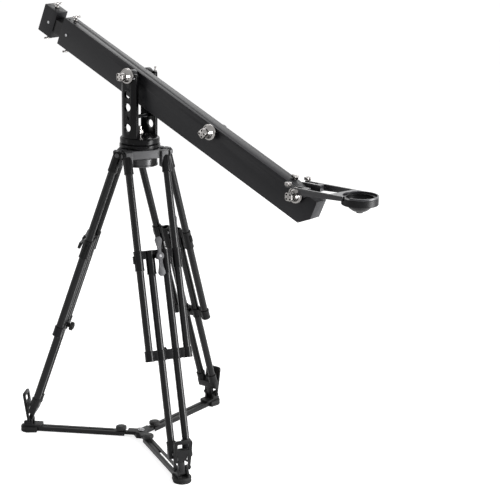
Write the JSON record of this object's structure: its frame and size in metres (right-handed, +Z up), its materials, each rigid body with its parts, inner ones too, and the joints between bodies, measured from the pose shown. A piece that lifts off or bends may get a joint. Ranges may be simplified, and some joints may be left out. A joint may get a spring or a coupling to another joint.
{
  "type": "camera jib crane",
  "caption": "Level-keeping box-beam camera jib arm on a pan turntable, a twin-tube tripod and a ground spreader, with a camera bowl at the low front end.",
  "frame": {"origin": "on the floor under the spreader hub, on the pan axis, at the floor mount", "axes": "+Z up along the pan axis; +X from the column to the camera end of the arm, seen from above; -Y is the side with the three hub knobs"},
  "size_m": [1.4944, 0.7276, 1.592],
  "materials": {
    "black_paint": "satin black coat",
    "black_anodised": "black anodised",
    "polished_silver": "polished",
    "axle_steel": "turned",
    "dark_casting": "dark cast",
    "black_tube": "black anodised tube",
    "grey_lever": "grey moulded",
    "black_plastic": "matt",
    "foot_rubber": "matt"
  },
  "bodies": {
    "ground_spreader": {"spreader_hub": "dark_casting"},
    "tripod_head": {"crown": "dark_casting", "turntable_base": "black_paint", "leg_front_upper": "black_tube", "leg_back_upper": "black_tube", "leg_left_upper": "black_tube"},
    "bowl_clamp": {"bowl_clamp": "black_plastic"},
    "column": {"turntable": "black_paint", "upright_near": "black_paint", "upright_far": "black_paint", "cross_rod": "black_anodised", "fulcrum_axle": "axle_steel", "fulcrum_bush_near": "black_anodised", "fulcrum_bush_far": "black_anodised", "level_blade": "axle_steel", "fulcrum_hub": "polished_silver"},
    "pan_lock_knob": {"pan_lock_knob": "polished_silver"},
    "fulcrum_knob": {"fulcrum_knob": "polished_silver"},
    "tilt_t_handle": {"tilt_t_handle": "polished_silver"},
    "arm": {"beam": "black_paint", "beam_front_cap": "black_paint", "mid_axle": "axle_steel", "mid_hub": "polished_silver"},
    "mid_knob": {"mid_knob": "polished_silver"},
    "level_bar": {"level_bar": "black_anodised"},
    "platform": {"platform": "black_paint", "camera_bowl": "black_paint", "front_axle": "axle_steel", "front_hub": "polished_silver"},
    "front_knob": {"front_knob": "polished_silver"},
    "rail_knob_near": {"rail_knob_near": "polished_silver"},
    "rail_knob_far": {"rail_knob_far": "polished_silver"},
    "beam_top_knob": {"beam_top_knob": "polished_silver"},
    "rear_extension": {"rear_block": "black_paint", "rear_insert": "black_anodised"},
    "t_screw_block_top": {"t_screw_block_top": "polished_silver"},
    "t_screw_block_bottom": {"t_screw_block_bottom": "polished_silver"},
    "t_screw_beam_top": {"t_screw_beam_top": "polished_silver"},
    "t_screw_beam_bottom": {"t_screw_beam_bottom": "polished_silver"},
    "leg_front_lower": {"leg_front_lower": "black_tube"},
    "leg_front_lever": {"leg_front_lever": "grey_lever"},
    "leg_front_knob": {"leg_front_knob": "black_plastic"},
    "spreader_arm_front": {"spreader_arm_front": "dark_casting", "foot_pad_front": "foot_rubber"},
    "spreader_knob_front": {"spreader_knob_front": "black_plastic"},
    "foot_latch_front": {"foot_latch_front": "dark_casting"},
    "leg_back_lower": {"leg_back_lower": "black_tube"},
    "leg_back_lever": {"leg_back_lever": "grey_lever"},
    "leg_back_knob": {"leg_back_knob": "black_plastic"},
    "spreader_arm_back": {"spreader_arm_back": "dark_casting", "foot_pad_back": "foot_rubber"},
    "spreader_knob_back": {"spreader_knob_back": "black_plastic"},
    "foot_latch_back": {"foot_latch_back": "dark_casting"},
    "leg_left_lower": {"leg_left_lower": "black_tube"},
    "leg_left_lever": {"leg_left_lever": "grey_lever"},
    "leg_left_knob": {"leg_left_knob": "black_plastic"},
    "spreader_arm_left": {"spreader_arm_left": "dark_casting", "foot_pad_left": "foot_rubber"},
    "spreader_knob_left": {"spreader_knob_left": "black_plastic"},
    "foot_latch_left": {"foot_latch_left": "dark_casting"}
  },
  "joints": [
    {"name": "tripod_height", "type": "slide", "parent": "ground_spreader", "child": "tripod_head", "axis": [0, 0, 1], "range_m": [-0.06, 0.206]},
    {"name": "arm_pan", "type": "hinge", "parent": "tripod_head", "child": "column", "pos_m": [0, 0, 1.15], "axis": [0, 0, 1], "continuous": true},
    {"name": "arm_tilt", "type": "hinge", "parent": "column", "child": "arm", "pos_m": [0, 0, 1.372], "axis": [0, 1, 0], "range_deg": [-68.6, 21.4]},
    {"name": "level_bar_turn", "type": "hinge", "parent": "column", "child": "level_bar", "pos_m": [0, 0, 1.322], "axis": [0, 1, 0], "range_deg": [-68.6, 21.4]},
    {"name": "platform_level", "type": "hinge", "parent": "arm", "child": "platform", "pos_m": [0.72209, 0, 1.05652], "axis": [0, 1, 0], "range_deg": [-21.4, 68.6]},
    {"name": "pan_lock_turn", "type": "hinge", "parent": "column", "child": "pan_lock_knob", "pos_m": [0, 0, 1.17], "axis": [0, 0, 1], "range_deg": [0, 180]},
    {"name": "bowl_clamp_turn", "type": "hinge", "parent": "tripod_head", "child": "bowl_clamp", "pos_m": [0, 0, 1.06], "axis": [0, 0, 1], "range_deg": [0, 180]},
    {"name": "fulcrum_knob_turn", "type": "hinge", "parent": "column", "child": "fulcrum_knob", "pos_m": [0, -0.095, 1.372], "axis": [0, 1, 0], "range_deg": [0, 180]},
    {"name": "tilt_lock_turn", "type": "hinge", "parent": "column", "child": "tilt_t_handle", "pos_m": [0, 0.0844, 1.372], "axis": [0, 1, 0], "range_deg": [-90, 90]},
    {"name": "mid_knob_turn", "type": "hinge", "parent": "arm", "child": "mid_knob", "pos_m": [0.35555, 0, 1.21667], "axis": [0, 1, 0], "range_deg": [0, 180]},
    {"name": "front_knob_turn", "type": "hinge", "parent": "platform", "child": "front_knob", "pos_m": [0.72209, 0, 1.05652], "axis": [0, 1, 0], "range_deg": [0, 180]},
    {"name": "rail_knob_near_turn", "type": "hinge", "parent": "platform", "child": "rail_knob_near", "pos_m": [0.706, -0.0535, 1.09], "axis": [0, 0, 1], "range_deg": [0, 180]},
    {"name": "rail_knob_far_turn", "type": "hinge", "parent": "platform", "child": "rail_knob_far", "pos_m": [0.706, 0.0535, 1.09], "axis": [0, 0, 1], "range_deg": [0, 180]},
    {"name": "beam_top_knob_turn", "type": "hinge", "parent": "arm", "child": "beam_top_knob", "pos_m": [0.6817, 0.014, 1.10145], "axis": [0.4003, 0, 0.9164], "range_deg": [0, 180]},
    {"name": "rear_extension_slide", "type": "slide", "parent": "arm", "child": "rear_extension", "axis": [-0.9164, 0, 0.4003], "range_m": [-0.038, 0.06]},
    {"name": "block_top_screw_turn", "type": "hinge", "parent": "rear_extension", "child": "t_screw_block_top", "pos_m": [-0.40213, 0, 1.58806], "axis": [0.4003, 0, 0.9164], "range_deg": [-90, 90]},
    {"name": "block_bottom_screw_turn", "type": "hinge", "parent": "rear_extension", "child": "t_screw_block_bottom", "pos_m": [-0.45858, 0, 1.45886], "axis": [0.4003, 0, 0.9164], "range_deg": [-90, 90]},
    {"name": "beam_top_screw_turn", "type": "hinge", "parent": "arm", "child": "t_screw_beam_top", "pos_m": [-0.30775, 0, 1.54683], "axis": [0.4003, 0, 0.9164], "range_deg": [-90, 90]},
    {"name": "beam_bottom_screw_turn", "type": "hinge", "parent": "arm", "child": "t_screw_beam_bottom", "pos_m": [-0.3642, 0, 1.41762], "axis": [0.4003, 0, 0.9164], "range_deg": [-90, 90]},
    {"name": "leg_front_extend", "type": "slide", "parent": "tripod_head", "child": "leg_front_lower", "axis": [0.2864, -0.1516, -0.946], "range_m": [-0.064, 0.219]},
    {"name": "spreader_front_slide", "type": "slide", "parent": "ground_spreader", "child": "spreader_arm_front", "axis": [0.8838, -0.4679, 0], "range_m": [-0.022, 0.074]},
    {"name": "leg_front_lever_turn", "type": "hinge", "parent": "leg_front_lower", "child": "leg_front_lever", "pos_m": [0.1831, -0.09695, 0.76191], "axis": [0.8361, -0.4427, 0.3241], "range_deg": [-10, 90]},
    {"name": "leg_front_knob_turn", "type": "hinge", "parent": "tripod_head", "child": "leg_front_knob", "pos_m": [0.23028, -0.12193, 0.42397], "axis": [0.8361, -0.4427, 0.3241], "range_deg": [0, 180]},
    {"name": "spreader_front_knob_turn", "type": "hinge", "parent": "spreader_arm_front", "child": "spreader_knob_front", "pos_m": [0.06805, -0.03603, 0.03], "axis": [0, 0, 1], "range_deg": [0, 90]},
    {"name": "foot_front_latch_turn", "type": "hinge", "parent": "spreader_arm_front", "child": "foot_latch_front", "pos_m": [0.37737, -0.19981, 0.047], "axis": [0.4679, 0.8838, 0], "range_deg": [0, 60]},
    {"name": "leg_back_extend", "type": "slide", "parent": "tripod_head", "child": "leg_back_lower", "axis": [-0.0119, 0.3238, -0.946], "range_m": [-0.064, 0.219]},
    {"name": "spreader_back_slide", "type": "slide", "parent": "ground_spreader", "child": "spreader_arm_back", "axis": [-0.0366, 0.9993, 0], "range_m": [-0.022, 0.074]},
    {"name": "leg_back_lever_turn", "type": "hinge", "parent": "leg_back_lower", "child": "leg_back_lever", "pos_m": [-0.00759, 0.20704, 0.76191], "axis": [-0.0347, 0.9454, 0.3241], "range_deg": [-10, 90]},
    {"name": "leg_back_knob_turn", "type": "hinge", "parent": "tripod_head", "child": "leg_back_knob", "pos_m": [-0.00955, 0.26039, 0.42397], "axis": [-0.0347, 0.9454, 0.3241], "range_deg": [0, 180]},
    {"name": "spreader_back_knob_turn", "type": "hinge", "parent": "spreader_arm_back", "child": "spreader_knob_back", "pos_m": [-0.00282, 0.07695, 0.03], "axis": [0, 0, 1], "range_deg": [0, 90]},
    {"name": "foot_back_latch_turn", "type": "hinge", "parent": "spreader_arm_back", "child": "foot_latch_back", "pos_m": [-0.01565, 0.42671, 0.047], "axis": [-0.9993, -0.0366, 0], "range_deg": [0, 60]},
    {"name": "leg_left_extend", "type": "slide", "parent": "tripod_head", "child": "leg_left_lower", "axis": [-0.2745, -0.1722, -0.946], "range_m": [-0.064, 0.219]},
    {"name": "spreader_left_slide", "type": "slide", "parent": "ground_spreader", "child": "spreader_arm_left", "axis": [-0.8471, -0.5314, 0], "range_m": [-0.022, 0.074]},
    {"name": "leg_left_lever_turn", "type": "hinge", "parent": "leg_left_lower", "child": "leg_left_lever", "pos_m": [-0.17551, -0.11009, 0.76191], "axis": [-0.8014, -0.5027, 0.3241], "range_deg": [-90, 10]},
    {"name": "leg_left_knob_turn", "type": "hinge", "parent": "tripod_head", "child": "leg_left_knob", "pos_m": [-0.22073, -0.13847, 0.42397], "axis": [-0.8014, -0.5027, 0.3241], "range_deg": [0, 180]},
    {"name": "spreader_left_knob_turn", "type": "hinge", "parent": "spreader_arm_left", "child": "spreader_knob_left", "pos_m": [-0.06523, -0.04092, 0.03], "axis": [0, 0, 1], "range_deg": [0, 90]},
    {"name": "foot_left_latch_turn", "type": "hinge", "parent": "spreader_arm_left", "child": "foot_latch_left", "pos_m": [-0.36172, -0.22691, 0.047], "axis": [0.5314, -0.8471, 0], "range_deg": [0, 60]}
  ],
  "couplings": [
    {"joint": "level_bar_turn", "follows": "arm_tilt", "ratio": 1},
    {"joint": "platform_level", "follows": "arm_tilt", "ratio": -1},
    {"joint": "leg_front_extend", "follows": "tripod_height", "ratio": 1.057},
    {"joint": "spreader_front_slide", "follows": "tripod_height", "ratio": 0.34253},
    {"joint": "leg_back_extend", "follows": "tripod_height", "ratio": 1.057},
    {"joint": "spreader_back_slide", "follows": "tripod_height", "ratio": 0.34253},
    {"joint": "leg_left_extend", "follows": "tripod_height", "ratio": 1.057},
    {"joint": "spreader_left_slide", "follows": "tripod_height", "ratio": 0.34253}
  ]
}
